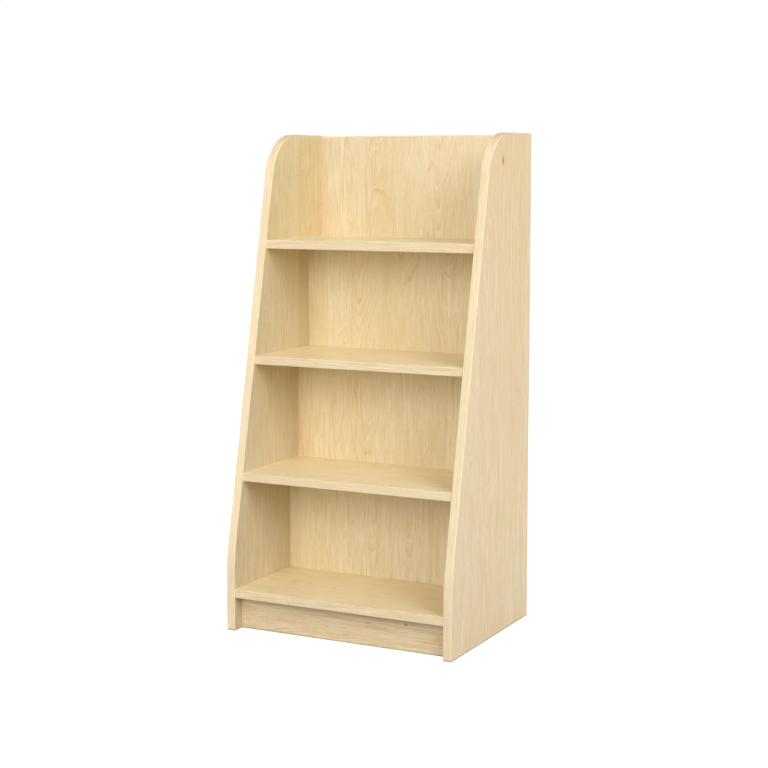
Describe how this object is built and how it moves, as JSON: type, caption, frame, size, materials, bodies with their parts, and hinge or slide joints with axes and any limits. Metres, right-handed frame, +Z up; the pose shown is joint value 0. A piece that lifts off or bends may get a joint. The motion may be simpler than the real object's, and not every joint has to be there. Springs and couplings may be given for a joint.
{
  "type": "open bookcase",
  "caption": "Low open bookcase in pale maple board with leaning, rounded side boards and fixed shelves whose back boards step to the rear",
  "frame": {"origin": "Middle of the outer box on the floor: half way across the width, half way through the depth, at floor height", "axes": "+X to the right seen from the front, +Y from the open front to the rear, +Z up"},
  "size_m": [0.5, 0.378, 1],
  "materials": {
    "side_board": "satin lacquered maple veneer, grain upright",
    "shelf_board": "satin lacquered maple veneer, grain along the width",
    "back_board": "satin lacquered maple veneer, grain upright with arched figure",
    "edge_band": "satin maple edge band with rounded corners",
    "dowel_wood": "plain turned beech"
  },
  "bodies": {
    "root": {"left_side": "side_board", "right_side": "side_board", "left_side_band": "edge_band", "right_side_band": "edge_band", "bottom_shelf": "shelf_board", "lower_shelf": "shelf_board", "middle_shelf": "shelf_board", "upper_shelf": "shelf_board", "bottom_shelf_band": "edge_band", "lower_shelf_band": "edge_band", "middle_shelf_band": "edge_band", "upper_shelf_band": "edge_band", "bottom_back": "back_board", "lower_back": "back_board", "middle_back": "back_board", "upper_back": "back_board", "upper_back_band": "edge_band", "toe_board": "shelf_board", "dowels": "dowel_wood"}
  },
  "joints": []
}
